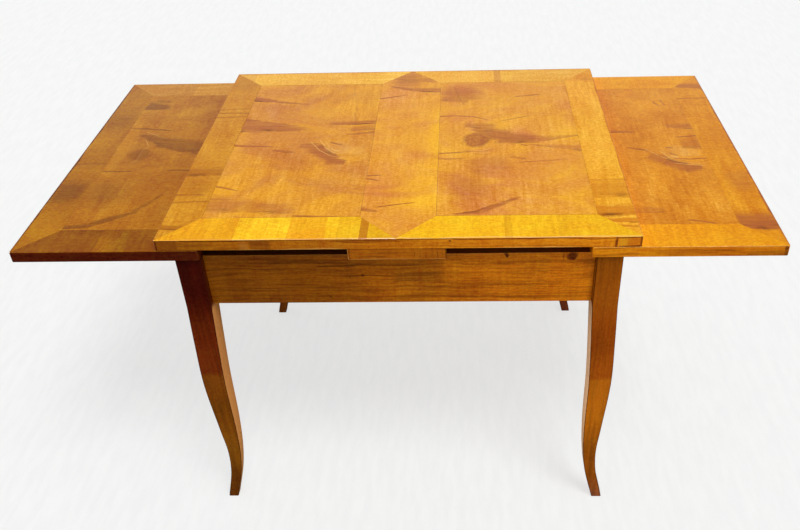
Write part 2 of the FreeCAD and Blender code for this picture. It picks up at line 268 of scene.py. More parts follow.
def finish_wood(shader, place, colour, height, dullness=0.3, gloss=0.4):
    """The polish over a colour, and the grain that is still felt through it."""
    polish = use(POLISH, Vector=place, Dullness=dullness)
    level = times(polish["Height"], 0.5, height)
    connect(shader, {
        "Base Color": colour, "Roughness": polish["Roughness"],
        "Coat Weight": times(polish["Coat"], gloss), "Coat Roughness": 0.16,
        "Specular IOR Level": 0.2, "Normal": bumped(level, 0.3, GRAIN_DEPTH),
    })


def joined(curves, heights, wanted):
    """Smooth curve through the given values: cubic pieces whose slopes at each height
    are the mean of the slopes on either side, read at the wanted heights."""
    steps = np.diff(heights)
    rises = np.diff(curves, axis=0) / steps[:, None]
    slopes = np.vstack([rises[:1], (rises[:-1] + rises[1:]) / 2, rises[-1:]])
    place = np.clip(np.searchsorted(heights, wanted, side="right") - 1, 0, len(steps) - 1)
    step = steps[place][:, None]
    t = (wanted[:, None] - heights[place][:, None]) / step
    ahead = 3 * t**2 - 2 * t**3
    return (
        (1 - ahead) * curves[place] + ahead * curves[place + 1]
        + step * (t - 2 * t**2 + t**3) * slopes[place]
        + step * (t**3 - t**2) * slopes[place + 1]
    )


LEG_FOOT_TO_RAIL = [
    # height, side, sweep outwards, in mm
    (0, 22.5, 34), (95, 25, 12.6), (160, 29, 5.8), (240, 37.3, 5.6), (390, 47, 8.7), (505, 49, 4.7),
    (603, 50, 0),
]
LEG_TOE_SET_IN = 0.004
LEG_ARRIS_RADIUS = 0.0022
LEG_FOOT_EASING = 0.001
LEG_RINGS = 120
LEG_CORNER_STEPS = 5
LEG_CREASE = 40                  # in degrees, as the other creases


def ring_faces(rings, around):
    """Quads between each ring of points and the next, and a face over each end."""
    ring, spot = np.meshgrid(np.arange(rings - 1), np.arange(around), indexing="ij")
    after = (spot + 1) % around
    low, high = ring * around, (ring + 1) * around
    quads = np.stack([low + spot, low + after, high + after, high + spot], axis=-1).reshape(-1, 4)
    ends = [list(range(around))[::-1], list(range((rings - 1) * around, rings * around))]
    return quads.tolist() + ends


def placed(name, data):
    """A new object at the origin."""
    piece = bpy.data.objects.new(name, data)
    bpy.context.scene.collection.objects.link(piece)
    return piece


def mesh_piece(name, points, faces, material, crease):
    """A new piece from points and faces, in metres, smooth but for its creases."""
    mesh = bpy.data.meshes.new(name)
    mesh.from_pydata(points.tolist(), [], faces)
    mesh.materials.append(material)
    mesh.shade_smooth()
    mesh.set_sharp_from_angle(angle=radians(crease))
    return placed(name, mesh)


def make_leg(name, material):
    """One leg: an eased square carried up a curve. Each corner is a quarter circle round
    a centre that lies half the side, less the radius, from the middle both ways. The side
    and the sweep outwards are smooth curves of the height; the toe stands in a little."""
    low, high = (np.array(corner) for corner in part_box(name))
    out_x, out_y = np.sign((low + high)[:2])
    levels = np.array(LEG_FOOT_TO_RAIL) / 1000
    rail, post = levels[-1, :2]
    centre_x = (low[0] if out_x > 0 else high[0]) + out_x * post / 2
    centre_y = (high[1] if out_y > 0 else low[1]) - out_y * post / 2
    height = np.append(np.linspace(0, rail, LEG_RINGS), high[2])
    height = np.insert(height, 1, LEG_FOOT_EASING)
    side, sweep = joined(levels[:, 1:], levels[:, 0], np.minimum(height, rail)).T
    side[0] -= 2 * LEG_FOOT_EASING
    set_in = LEG_TOE_SET_IN * (1 - np.minimum(height, rail) / rail)
    corner = np.repeat(np.arange(4), LEG_CORNER_STEPS)
    angle = (corner + np.tile(np.linspace(0, 1, LEG_CORNER_STEPS), 4)) * pi / 2
    to_centre = side[:, None] / 2 - LEG_ARRIS_RADIUS
    x = to_centre * np.sign(np.cos((corner + 0.5) * pi / 2)) + LEG_ARRIS_RADIUS * np.cos(angle)
    y = to_centre * np.sign(np.sin((corner + 0.5) * pi / 2)) + LEG_ARRIS_RADIUS * np.sin(angle)
    x = x + centre_x + out_x * sweep[:, None]
    y = y + centre_y - out_y * set_in[:, None]
    z = np.broadcast_to(height[:, None], x.shape)
    points = np.stack([x, y, z], axis=-1).reshape(-1, 3)
    leg = mesh_piece(name + "_swept", points, ring_faces(*x.shape), material, LEG_CREASE)
    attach(leg, "table_frame")
    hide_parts(name)


LEG_STAINS_AND_SHADE = {
    # leg: height in mm and stain, from the floor up. Painted shade is in these rows:
    # the steps near 400 mm are the edge of the top's painted shadow, the front left
    # leg's darkening above its step is the leaf's painted shadow, and that leg is
    # painted darker all along, partly as painted shade.
    "leg_front_left": [
        (0, (112, 58, 6)), (60, (120, 62, 6)), (150, (150, 88, 8)), (300, (139, 76, 5)),
        (410, (142, 74, 6)), (426, (124, 48, 4)), (540, (112, 38, 2)), (640, (74, 10, 1)),
        (722, (66, 6, 1)),
    ],
    "leg_front_right": [
        (0, (156, 88, 48)), (45, (168, 90, 34)), (75, (166, 86, 10)), (150, (169, 90, 8)),
        (270, (216, 121, 8)), (392, (204, 112, 7)), (406, (180, 88, 5)), (520, (164, 76, 4)),
        (640, (166, 86, 4)), (722, (152, 80, 3)),
    ],
    "leg_back_left": [(0, (140, 72, 16)), (722, (150, 68, 8))],
    "leg_back_right": [(0, (150, 72, 40)), (722, (160, 80, 12))],
}
STAIN_DEPTH = 0.6
# A dark brown of painted shade, laid on the legs' arrises and on faces turned from the light or sunk in
# the slots.
SHADE_BROWN = (48, 20, 6)
LIT_INNER_FACES = {
    # leg: the way that its inner face looks along X, and the pale colour of the painted light and
    # reflection on that face
    "leg_front_left": (1, (255, 174, 96)),
    "leg_front_right": (-1, (246, 200, 156)),
}
INNER_LIGHT_UP_TO = (0.59, 0.61)        # the painted light on the inner face ends between these heights


def leg_wood(name, stains_and_shade):
    """Solid timber whose stain, with painted shade in it, drifts with the height, and lies darker in
    the soft grain.
    """
    material, shader, place, normal = start_material(name)
    up = split(place)["Z"]
    stain_and_shade = drifting(up, [(height, srgb(*tone)) for height, tone in stains_and_shade])
    pale, deep = scaled(stain_and_shade, 2 - STAIN_DEPTH), scaled(stain_and_shade, STAIN_DEPTH)
    colour, height, _ = grain_colour(place, "Z", pale, deep, 120, 0.45, 0.2)
    facing = split(normal)
    squareness = maths("MAXIMUM", *(maths("ABSOLUTE", facing[side]) for side in "XY"))
    # Painted light: below the aprons, the inner face of a front leg is painted pale for the light and
    # reflection it takes from the room.
    if name in LIT_INNER_FACES:
        towards, painted_light = LIT_INNER_FACES[name]
        below = faded(up, *INNER_LIGHT_UP_TO, 1, 0)
        inward = faded(times(facing["X"], towards), 0.8, 0.95, 0, 0.85)
        colour = blended(times(inward, below), colour, painted_light)
    # Painted shade: the rounded arrises darken towards the shade brown.
    colour = blended(faded(squareness, 0.86, 0.995, 0.8, 0), colour, SHADE_BROWN)
    finish_wood(shader, place, colour, height, 0.26)
    return material


for leg_name, stains_and_shade in LEG_STAINS_AND_SHADE.items():
    make_leg(leg_name, leg_wood(leg_name, stains_and_shade))


# ---------------------------------------------------------------- aprons
# Four solid aprons tenoned into the posts, the grain along their length. The
# front one has a tight round knot under its upper edge, and darker heartwood.
# The end ones are notched for the bearers. Their lower arrises are taken off.


def make_knot():
    """Grain bent round a knot, as water runs round a post: the distance across the grain
    shrinks by the square of radius over distance. Core is the knot itself, ragged by
    noise, Rim the bark round it, Halo the pale wood about it, and Rings the growth rings
    that crowd there: a sine of the distance, from -1 to 1, strong in patches."""
    inputs = {"Vector": ORIGIN, "Centre": ORIGIN, "Radius": 0.01}
    group, given = effect("knot", inputs, ["Vector", "Core", "Rim", "Halo", "Rings"])
    board, centre, radius = given
    ragged = scaled(swaying(board, 36, 4), maths("MINIMUM", radius, RAGGEDNESS))
    off = vectors("SUBTRACT", board, centre)
    loose = vectors("ADD", off, stretched(ragged, 2, 1.4, 0))
    distance = vectors("LENGTH", stretched(loose, 1.12, 1, 0))
    distance = maths("MAXIMUM", distance, 0.0001)
    share = maths("DIVIDE", radius, distance)
    bend = maths("MINIMUM", times(share, share), 1)
    along, across, through = split(off)
    across = times(across, maths("SUBTRACT", 1, bend))
    moved = put("CombineXYZ", {0: along, 1: across, 2: through}).outputs[0]
    waves = maths("SINE", times(distance, RING_FREQUENCY))
    patches = times(faded(clouds(board, 34, 3), 0.36, 0.56), 0.6, 0.4)
    mottled = faded(clouds(loose, 120, 3), 0.35, 0.65, 0.72, 1.1)
    inside = times(faded(share, 0.66, 1.15), mottled)
    return give_out(
        group, Vector=vectors("ADD", moved, centre), Core=inside,
        Rim=times(inside, faded(share, 1.05, 1.5, 1, 0.2)),
        Halo=times(faded(share, 0.25, 0.36), patches),
        Rings=times(waves, times(faded(share, 0.22, 0.4), patches)),
    )


def make_streak():
    """A streak of heartwood from one point to another: the distance from the line between
    them, frayed by noise drawn out along the grain, is under a half width that runs
    evenly from one end's to the other's. To the right of the way along it the edge is
    crisp, with a dark rim, less so the softer it is; to the left it fades."""
    inputs = {"Vector": ORIGIN, "From": ORIGIN, "To": ORIGIN, "From width": 0.01}
    inputs.update({"To width": 0, "Fray": 0.004, "Softness": 0})
    group, given = effect("heart streak", inputs, ["Mask", "Rim"])
    board, start, end, start_width, end_width, fray, softness = given
    off = vectors("SUBTRACT", board, start)
    line = vectors("SUBTRACT", end, start)
    length = vectors("LENGTH", line)
    along = maths("DIVIDE", maths("DIVIDE", vectors("DOT_PRODUCT", off, line), length), length)
    left = maths("DIVIDE", split(vectors("CROSS_PRODUCT", line, off))["Z"], length)
    frayed = clouds(stretched(board, 0.2), 120, 4, 0.75)
    left = maths("ADD", times(maths("SUBTRACT", frayed, 0.5), fray), left)
    within = maths("MULTIPLY", along, 1, use_clamp=True)
    within = times(within, maths("SUBTRACT", end_width, start_width), start_width)
    share = maths("DIVIDE", left, maths("MAXIMUM", within, NARROWEST_STREAK))
    crisp = faded(share, -1.15, maths("SUBTRACT", softness, 0.85))
    soft = faded(share, 0.25, 1.3, 1, 0)
    fade_in = faded(along, -0.06, times(softness, 0.35, 0.12))
    fade_out = faded(along, times(softness, -0.35, 0.85), 1.08, 1, 0)
    mask = times(times(crisp, soft), times(fade_in, fade_out))
    rim = times(mask, faded(share, -0.9, -0.3, 1, 0))
    return give_out(group, Mask=mask, Rim=times(rim, maths("SUBTRACT", 1, softness)))


RING_FREQUENCY = 1150
RAGGEDNESS = 0.014
FAINT_RINGS = 0.15
BARK = 0.2
RING_GLOW = (255, 200, 108)
FRAY = 0.9
NARROWEST_STREAK = 0.0004
WIDEST_CRISP_STREAK = 32
FIGURE_SWAY = 0.011
GLOSS = {"top": 1, "front": 0.4}
KNOT = make_knot()
STREAK = make_streak()
HEART = (180, 96, 46)
HEART_DARK = (104, 44, 10)


def on_face(x, y):
    """A point of a face as the shader takes it: across and up, from millimetres."""
    return (x / 1000, y / 1000, 0)


def figured_wood(name, axis, pale, deep, heart, streaks=(), washes=(), sheets=(), knots=(),
                 drift=(), *, growth, curl, face="top", lines=160, wander=0.006):
    """Wood with its own figure, laid out as seen on its face in millimetres.

    A streak is (x, y, x, y, half width, half width, strength), and with a negative
    strength it is pale. A wash is (x, y, half length, half width, how much deeper the wood
    is in the middle). A sheet is (where it begins along X, tone), and the last row ends
    them. A knot is (x, y, radius, core, glow). Drift is rows as of sheets, but the tone
    runs evenly from each place to the next.
    """
    material, shader, place, normal = start_material(name)
    facing = split(normal)
    # Painted shade: on a top, the faces that don't look up darken towards the shade brown; on an edge,
    # the faces that look up, as the aprons' tops in the dark slots.
    if face == "top":
        shown = faded(facing["Z"], 0.3, 0.6)
        shaded = faded(facing["Z"], 0.3, 0.6, 0.85, 0)
    else:
        place = put("Mapping", {"Vector": place, "Rotation": (-pi / 2, 0, 0)}).outputs[0]
        shown = faded(maths("ABSOLUTE", facing["Y"]), 0.3, 0.6)
        shaded = faded(facing["Z"], 0.3, 0.6, 0, 0.9)
    flat = stretched(place, 1, 1, 0)
    plan = vectors("ADD", scaled(swaying(flat, 11, 3), FIGURE_SWAY), flat)
    cores = bark = halos = rings = heartwood = rims = glints = wash = 0
    for x, y, radius, core, glow in knots:
        knot = use(KNOT, Vector=plan, Centre=on_face(x, y), Radius=radius / 1000)
        plan = knot["Vector"]
        cores = maths("MAXIMUM", cores, times(knot["Core"], core))
        bark = maths("MAXIMUM", bark, times(knot["Rim"], BARK * core))
        halos = maths("MAXIMUM", halos, times(knot["Halo"], glow))
        rings = times(knot["Rings"], max(glow, FAINT_RINGS), rings)
    for x, y, to_x, to_y, half, to_half, strength in streaks:
        widest = max(half, to_half)
        streak = use(
            STREAK, Vector=plan, From=on_face(x, y), To=on_face(to_x, to_y),
            From_width=half / 1000, To_width=to_half / 1000, Fray=FRAY * widest / 1000,
            Softness=float(np.clip(widest / WIDEST_CRISP_STREAK - 1, 0, 1)),
        )
        strength = times(shown, strength)
        mask = times(streak["Mask"], strength)
        heartwood = maths("MAXIMUM", heartwood, mask)
        glints = maths("MINIMUM", glints, mask)
        rims = maths("MAXIMUM", rims, times(streak["Rim"], strength))
    for x, y, half_length, half_width, depth in washes:
        off = vectors("SUBTRACT", plan, on_face(x, y))
        off = stretched(off, 1000 / half_length, 1000 / half_width, 0)
        wash = maths("ADD", faded(vectors("LENGTH", off), 0.2, 1.3, depth, 0), wash)
    board = vectors("ADD", place, vectors("SUBTRACT", plan, flat))
    grain = grain_colour(board, axis, pale, deep, lines, growth, curl, wander, wash)
    colour, height, growth_lines = grain
    if streaks:
        broken = times(growth_lines, 0.35, 0.7)
        colour = blended(times(heartwood, broken), colour, heart)
        worn = faded(clouds(flat, 22), 0.42, 0.7)
        colour = blended(times(rims, worn), colour, HEART_DARK)
        colour = blended(times(glints, -1), colour, RING_GLOW)
    if knots:
        colour = blended(cores, colour, heart)
        colour = blended(times(halos, 0.8), colour, RING_GLOW)
        colour = blended(maths("MULTIPLY", rings, -0.9, use_clamp=True), colour, heart)
        colour = blended(bark, colour, HEART_DARK)
        height = times(rings, 0.4, height)
    for tones, steps in ((sheets, "CONSTANT"), (drift, "EASE")):
        if tones:
            tone = drifting(split(flat)["X"], tones, steps)
            colour = blended(1, colour, tone, "MULTIPLY")
    colour = blended(shaded, colour, SHADE_BROWN)
    finish_wood(shader, place, colour, height, gloss=GLOSS[face])
    return material


def arris_wood(name, dark, worn, gloss=0.4, rim=None):
    """The finish of an eased arris: a darker tone, rubbed to a paler one in patches.
    Given a rim, (x, y) in metres, the front edge beyond y is painted cream as a
    painted highlight, and the back edge and the ends beyond x dark brown as painted shade."""
    material, shader, place, _ = start_material(name)
    rubbed = faded(clouds(place, 14, 4, 0.7), 0.48, 0.66)
    colour = blended(rubbed, dark, worn)
    if rim:
        x, y, _ = split(place)
        at_ends = maths("GREATER_THAN", maths("ABSOLUTE", x), rim[0])
        behind = maths("GREATER_THAN", y, rim[1])
        # Painted highlight: the front arris is painted cream. Painted shade: the back arris and the
        # ends are painted dark brown.
        painted_light = blended(rubbed, (250, 190, 110), (255, 226, 170))
        colour = blended(maths("LESS_THAN", y, -rim[1]), colour, painted_light)
        colour = blended(maths("MAXIMUM", at_ends, behind), colour, (104, 58, 12))
    finish_wood(shader, place, colour, clouds(place, 300), 0.34, gloss)
    return material


DARK_ARRIS = arris_wood("dark_arris", (70, 26, 4), (140, 74, 14))
SEAM = arris_wood("glued_seam", (164, 98, 32), (220, 146, 50), 0.1)
# The top's rim carries a painted highlight along the front arris and painted shade along the back and
# the ends.
TOP_RIM = arris_wood("top_rim", (120, 62, 14), (206, 132, 40), rim=(0.451, 0.37))
SHARP_CORNER = radians(40)
WELDED_WITHIN = 0.00001
EASED = 0.0006                   # the width that comes off an arris
SAWN_EASED = 0.0008
RIM_EASED = 0.00098
BOARD_EASED = 0.001


def dress(material, arris, width, *nodes):
    """The nodes take their finish. Their triangles are merged, and each sharp corner is
    rounded over by width, in the finish of an arris."""
    for node in nodes:
        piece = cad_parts[node]
        piece.material_slots[0].material = material
        piece.data.materials.append(arris)
        piece.modifiers.new("merged", "WELD").merge_threshold = WELDED_WITHIN
        rounded = piece.modifiers.new("rounded", "BEVEL")
        rounded.width = width
        rounded.segments = 2
        rounded.limit_method = "ANGLE"
        rounded.angle_limit = SHARP_CORNER
        rounded.material = 1


def lay_edge(node, width, axis, pale, deep, heart, streaks, lines, growth=0.5, curl=0.5,
             wander=0.003, **figure):
    """A board takes the figure of the edge that it shows, laid out as (x, height), and its
    finish; returns its wood."""
    wood = figured_wood(
        node, axis, pale, deep, heart, streaks=streaks, face="front", lines=lines,
        growth=growth, curl=curl, wander=wander, **figure,
    )
    dress(wood, DARK_ARRIS, width, node)
    return wood


# Painted shade: the front apron's tone runs from dark at the left to light at the right, as the light
# falls from the right.
RAIL_SHADE_DRIFT = [(-460, 0.52), (-200, 0.63), (0, 1.02), (200, 1.42), (460, 1.85)]
FRONT_APRON_KNOTS = [
    # x, height, radius, core, glow
    (330, 712.5, 8.5, 0.95, 0), (207, 716, 3, 0.9, 0), (-96, 668, 1.8, 0.8, 0), (-70, 671, 2.2, 0.8, 0),
    (-137, 618, 2, 0.8, 0),
]
FRONT_APRON_STREAKS = [
    # x, height, x, height, half widths, strength
    (318, 711, 342, 713, 6, 8, 0.4), (314, 702, 313, 719, 2, 1.4, 0.5), (204, 722, 208, 712, 4, 1, 0.9),
    (180, 700, 380, 706, 5, 4, 0.35), (-12, 669, 86, 668, 13, 13, 0.45),
    (-130, 700, 60, 696, 5, 3, 0.35), (-250, 706, -90, 704, 6, 4, 0.45),
    (-160, 693, -60, 700, 2, 3, 0.5), (-110, 672, 0, 669, 2, 2, 0.5), (40, 640, 330, 652, 1.5, 2, 0.3),
    (-360, 690, -120, 686, 2, 2, 0.3), (-300, 640, 20, 644, 1.5, 2, 0.3),
    (60, 618, 360, 616, 2, 4, 0.4), (-380, 720.5, 380, 720.5, 0.8, 0.8, -0.15),
]
BACK_APRON_STREAKS = [(-300, 690, 40, 682, 6, 3, 0.5), (60, 640, 350, 650, 4, 7, 0.5)]
lay_edge(
    "apron_front", EASED, "X", (212, 122, 4), (134, 62, 1), (76, 26, 2), FRONT_APRON_STREAKS, 190,
    knots=FRONT_APRON_KNOTS, drift=RAIL_SHADE_DRIFT,
)
lay_edge(
    "apron_back", EASED, "X", (206, 120, 12), (140, 70, 6), (104, 46, 6), BACK_APRON_STREAKS, 330,
    growth=0.55, curl=0.35,
)
end_apron_wood, shader, place, _ = start_material("apron_ends")
colour, height, _ = grain_colour(place, "Y", (200, 116, 12), (140, 70, 6), 200, 0.5, 0.25)
finish_wood(shader, place, colour, height)
dress(end_apron_wood, DARK_ARRIS, EASED, "apron_left", "apron_right")


# ---------------------------------------------------------------- inner frame
# The centre rail is housed in the long aprons and notched for the bearers. A
# block is glued into each corner behind the post. None of it was ever polished:
# it is sawn pale softwood, grey with age and marked by the saw.

SAW_FREQUENCY = 2600


def sawn_wood(name, axis, pale, deep):
    """Unpolished timber: long grain crossed by saw marks, which are waves along it."""
    material, shader, place, _ = start_material(name)
    colour, height, _ = grain_colour(place, axis, pale, deep, 110, 0.55, 0.1)
    along = maths("ADD", split(place)[axis], times(clouds(place, 25), 0.006))
    marks = maths("SINE", times(along, SAW_FREQUENCY))
    dust = faded(clouds(place, 18, 5, 0.65), 0.45, 0.75)
    connect(shader, {
        "Base Color": blended(times(dust, 0.35), colour, (120, 104, 84)),
        "Roughness": times(dust, 0.15, 0.65),
        "Normal": bumped(times(marks, 0.3, height), 0.4, GRAIN_DEPTH),
    })
    return material


SAWN_ARRIS = sawn_wood("sawn_arris", "X", (196, 158, 108), (150, 112, 70))
rail_wood = sawn_wood("centre_rail", "Y", (205, 170, 120), (160, 118, 72))
block_wood = sawn_wood("corner_blocks", "X", (196, 158, 108), (148, 108, 66))
dress(rail_wood, SAWN_ARRIS, SAWN_EASED, "centre_rail")
for end in ("front", "back"):
    for side in ("left", "right"):
        dress(block_wood, SAWN_ARRIS, SAWN_EASED, f"corner_block_{end}_{side}")


# ---------------------------------------------------------------- centre board
# A board as thick as a leaf lies across the long aprons and holds the fixed top
# up, so that the leaves can slide in beside it. Its front end is flush with the
# top's edge and shows end grain, stained like it.

CENTRE_BOARD_STREAKS = [
    # x, height, x, height, half widths, strength
    (34, 727, 35, 741, 0.9, 0.7, 0.6), (45, 726, 45, 744, 0.8, 0.8, 0.5),
    (56, 725, 55, 738, 1, 0.6, 0.6), (66, 728, 67, 745, 0.8, 0.9, 0.5),
    (76, 725, 76, 742, 1.1, 0.8, 0.7), (86, 727, 85, 744, 0.9, 0.8, 0.5),
    (-60, 736, 40, 738, 1.6, 1, 0.4), (-80, 730, -20, 728, 1.4, 2, 0.5),
    (-100, 722.8, 100, 722.8, 0.8, 0.8, -0.35), (-91.6, 718, -91.6, 750, 0.8, 0.8, -0.3),
    (-89, 718, -89, 750, 1.4, 1.4, 0.6), (91.5, 718, 91.5, 750, 1.2, 1.2, 0.7),
]
lay_edge(
    "centre_board", EASED, "X", (206, 118, 8), (160, 80, 4), (96, 42, 2), CENTRE_BOARD_STREAKS, 260,
)


# ---------------------------------------------------------------- top board
# The fixed top is a board with its grain across the table and a cleat over each
# end, whose end grain shows at the front right corner as a paler block.

TOP_EDGE_STREAKS = [
    # x, height, x, height, half widths, strength
    (-445, 757, -345, 757, 14, 14, 0.3), (-293, 757, -277, 757, 8, 8, -0.12),
    (-275, 757, -234, 757, 15, 15, 0.6), (-345, 750, -280, 750, 5, 4, 0.4),
    (-120, 764, 60, 763, 3, 1, 0.5), (404, 742, 404, 774, 2.6, 2.6, 1),
    (-500, 768, 500, 768, 1.5, 1.5, 0.9), (-230, 766, 60, 766, 1, 1, 0.5),
    (60, 752, 400, 751, 1, 2, 0.35), (-330, 746.8, -96, 746.8, 1.3, 1.3, -0.5),
    (96, 746.8, 385, 746.8, 1.3, 1.3, -0.5),
]
CLEAT_STREAKS = [
    (450, 742, 450, 774, 2.4, 2.4, 1), (400, 747.5, 460, 747.5, 1.4, 1.4, 1),
    (400, 768, 460, 768, 1.4, 1.4, 0.8), (-451, 742, -451, 774, 2.4, 2.4, 1),
    (-460, 768, -400, 768, 1.4, 1.4, 0.8),
]
# Painted shade: the top's front edge runs from dark at the left to light at the right, as the light
# falls from the right.
TOP_EDGE_SHADE_DRIFT = [(-460, 0.66), (-200, 0.8), (0, 1.02), (200, 1.24), (460, 1.38)]
lay_edge(
    "top_core", BOARD_EASED, "X", (238, 146, 12), (196, 104, 6), (128, 54, 4), TOP_EDGE_STREAKS,
    200, curl=0.8, knots=[(100, 763, 2.2, 0.9, 0)], drift=TOP_EDGE_SHADE_DRIFT,
)
CLEATS = {
    # cleat: its washes, and its pale, deep and heart tone
    "top_cleat_left": ((), (170, 98, 10), (140, 70, 6), (96, 30, 2)),
    "top_cleat_right": (
        [(414, 758, 12, 12, -0.8), (440, 757, 16, 14, 0.3)],
        (255, 172, 28), (226, 108, 2), (128, 54, 4),
    ),
}
for cleat, (washes, *tones) in CLEATS.items():
    lay_edge(
        cleat, BOARD_EASED, "Z", *tones, CLEAT_STREAKS, 200, curl=0.25, wander=0.006,
        washes=washes,
    )


# ---------------------------------------------------------------- top veneers
# Two figured panels either side of a centre band that runs to a point at both
# edges, inside a border pieced from sheets. The grain runs along the table, with
# fine curl across it, but in the two back sheets it runs across the table.


def warm(depth):
    """The tone of a sheet that is browner than its neighbours by this depth, 0 to 1."""
    return (1 - 0.9 * depth, 1 - 1.45 * depth, 1 - depth, 1)


def lay_veneer(node, rim, heart, grain, pale, deep, *figure):
    """A veneer takes its figure, and the growth and curl of its grain. A border's arris
    has the finish of the rim, and any other that of a glued seam."""
    axis = "Y" if "border_veneer_back" in node else "X"
    growth, curl = grain
    veneer = figured_wood(node, axis, pale, deep, heart, *figure, growth=growth, curl=curl)
    if "border" in node:
        dress(veneer, rim, RIM_EASED, node)
    else:
        dress(veneer, SEAM, EASED, node)


LEFT_PANEL_STREAKS = [
    # x, y, x, y, half widths, strength
    (-392, 224, -318, 207, 13, 7, 0.95), (-325, 206, -238, 190, 6, 2, 0.75),
    (-400, 84, -222, 62, 36, 6, 0.85), (-250, 76, -400, 100, 3, 24, 0.7),
    (-392, -8, -286, -20, 6, 2, 0.85), (-292, -36, -240, -42, 3, 5, 0.85),
    (-124, -90, -168, -84, 9, 17, 0.9), (-150, -80, -206, -22, 18, 21, 0.9),
    (-196, -24, -234, -14, 18, 10, 0.6), (-168, -4, -140, -20, 3, 4, 1),
    (-210, 0, -188, -34, 1.1, 1.3, -0.5), (-190, -34, -158, -60, 1.3, 1.1, -0.55),
    (-192, 8, -176, -24, 1.2, 1.5, -0.55), (-178, -24, -150, -48, 1.5, 2, -0.6),
    (-180, 4, -166, -26, 1, 1.2, -0.5), (-150, -50, -124, -46, 1.2, 1.2, -0.4),
    (-162, -28, -142, -36, 3, 4, -0.6), (-160, -60, -124, -72, 1.2, 1, -0.4),
    (-135, -32, -86, -40, 16, 22, -0.2), (-160, -64, -90, -56, 1.2, 1, 0.5),
    (-182, 86, -66, 92, 7, 10, 0.85), (-130, 60, -66, 68, 8, 14, 0.55), (-134, 32, -66, 47, 3, 6, 0.8),
    (-392, -178, -330, -197, 4, 2, 0.85), (-400, -240, -200, -272, 34, 14, 0.5),
    (-400, -226, -330, -232, 5, 3, 0.6), (-205, -292, -110, -297, 3, 3, 0.8),
    (-150, 240, -70, 210, 40, 46, 0.2), (-142, 292, -120, 130, 3, 2, 0.25),
    (-128, 140, -116, 80, 2, 3, 0.35),
]
RIGHT_PANEL_STREAKS = [
    (128, 60, 200, 52, 10, 22, 0.65), (150, 20, 176, 52, 14, 24, 0.65), (166, 30, 232, 18, 18, 30, 0.8),
    (148, 6, 206, 9, 7, 13, 0.6), (200, 14, 292, 2, 26, 18, 0.8), (280, 2, 335, 8, 16, 9, 0.55),
    (325, 7, 392, 17, 9, 2, 0.6), (262, -20, 392, -44, 1, 14, 0.42), (252, -22, 268, -26, 2, 2, 0.8),
    (150, -34, 190, -26, 1.2, 1.2, -0.45), (140, -42, 188, -44, 1.2, 1.2, -0.4),
    (146, -38, 190, -34, 1.2, 1.2, 0.6), (150, -52, 186, -54, 1.2, 1.2, 0.5),
    (86, -200, 190, -190, 60, 50, 0.4), (130, -110, 230, -96, 44, 34, 0.35),
    (160, -284, 104, -292, 7, 3, 0.8), (236, -232, 158, -284, 4, 9, 0.8),
    (66, 236, 180, 236, 46, 40, 0.5), (76, 210, 142, 204, 14, 24, 0.5), (108, 276, 130, 170, 3, 4, 0.6),
    (66, 114, 150, 106, 3, 3, 0.8), (146, 108, 184, 88, 3, 2, 0.75), (250, 208, 312, 222, 2, 4, 0.85),
    (216, 84, 284, 112, 2, 2, 0.55), (70, -56, 150, -36, 3, 3, 0.75), (70, -76, 130, -72, 2, 2, 0.7),
    (240, -96, 340, -86, 2, 2, 0.55), (226, -72, 262, -82, 6, 4, 0.5),
]
LEFT_PANEL_WASHES = [
    # x, y, half length, half width, how much deeper
    (-370, -230, 90, 80, -0.25), (-300, 180, 150, 110, 0.1), (-200, 265, 60, 45, -0.2),
    (-110, -60, 40, 60, -0.2),
]
RIGHT_PANEL_WASHES = [
    (115, 190, 60, 90, 0.25), (110, 50, 50, 80, 0.3), (300, 240, 120, 80, -0.2), (290, 60, 60, 70, 0.3),
    (150, -180, 95, 135, 0.3), (340, -165, 70, 140, -0.15),
]
BAND_WASHES = [
    (-40, 215, 60, 95, 0.5), (45, 190, 40, 80, 0.15), (-50, -220, 45, 100, 0.3),
    (52, -220, 42, 110, -0.3), (72, 20, 30, 150, -0.4),
]
BAND_STREAKS = [
    (-60, 318, 40, 322, 56, 48, 0.75), (-52, 284, 10, 262, 3, 11, 0.85), (0, 264, 84, 257, 12, 14, 0.7),
    (-50, 332, 64, 314, 8, 16, 0.6), (-78, 212, -10, 229, 4, 2, 0.8), (-78, -146, -42, -144, 4, 1, 0.9),
    (-78, -156, -46, -165, 4, 1, 0.9), (-78, -270, -40, -280, 9, 3, 0.7),
    (-46, -264, 30, -249, 2, 2, 0.85),
]
LEFT_END_STREAKS = [
    (-460, 168, -372, 168, 3, 3, 0.7), (-460, 150, -372, 146, 4, 3, 0.7),
    (-460, 126, -372, 130, 4, 3, 0.6), (-460, -122, -372, -118, 20, 17, 0.6),
    (-460, -190, -372, -190, 60, 52, 0.45), (-460, -212, -395, -211, 4, 3, 0.85),
    (-460, -240, -372, -236, 4, 3, 0.6), (-460, -326, -372, -330, 8, 7, 0.85),
    (-460, 320, -372, 290, 44, 50, 0.4),
]
RIGHT_END_STREAKS = [
    (372, -206, 460, -204, 34, 32, 0.6), (372, -284, 460, -280, 21, 19, 0.8),
    (372, -236, 460, -238, 2, 2, 0.6), (372, -172, 460, -174, 2, 2, 0.5),
    (376, -300, 460, -298, 2, 2, 0.7), (376, -316, 460, -318, 6, 8, 0.85),
    (385, -334, 460, -338, 3, 4, 0.7), (375, 340, 460, 330, 40, 40, 0.3),
    # painted shade: a dark line along the top's right edge, beside the leaf
    (451, -372, 451, 372, 1.8, 1.8, 0.9),
]
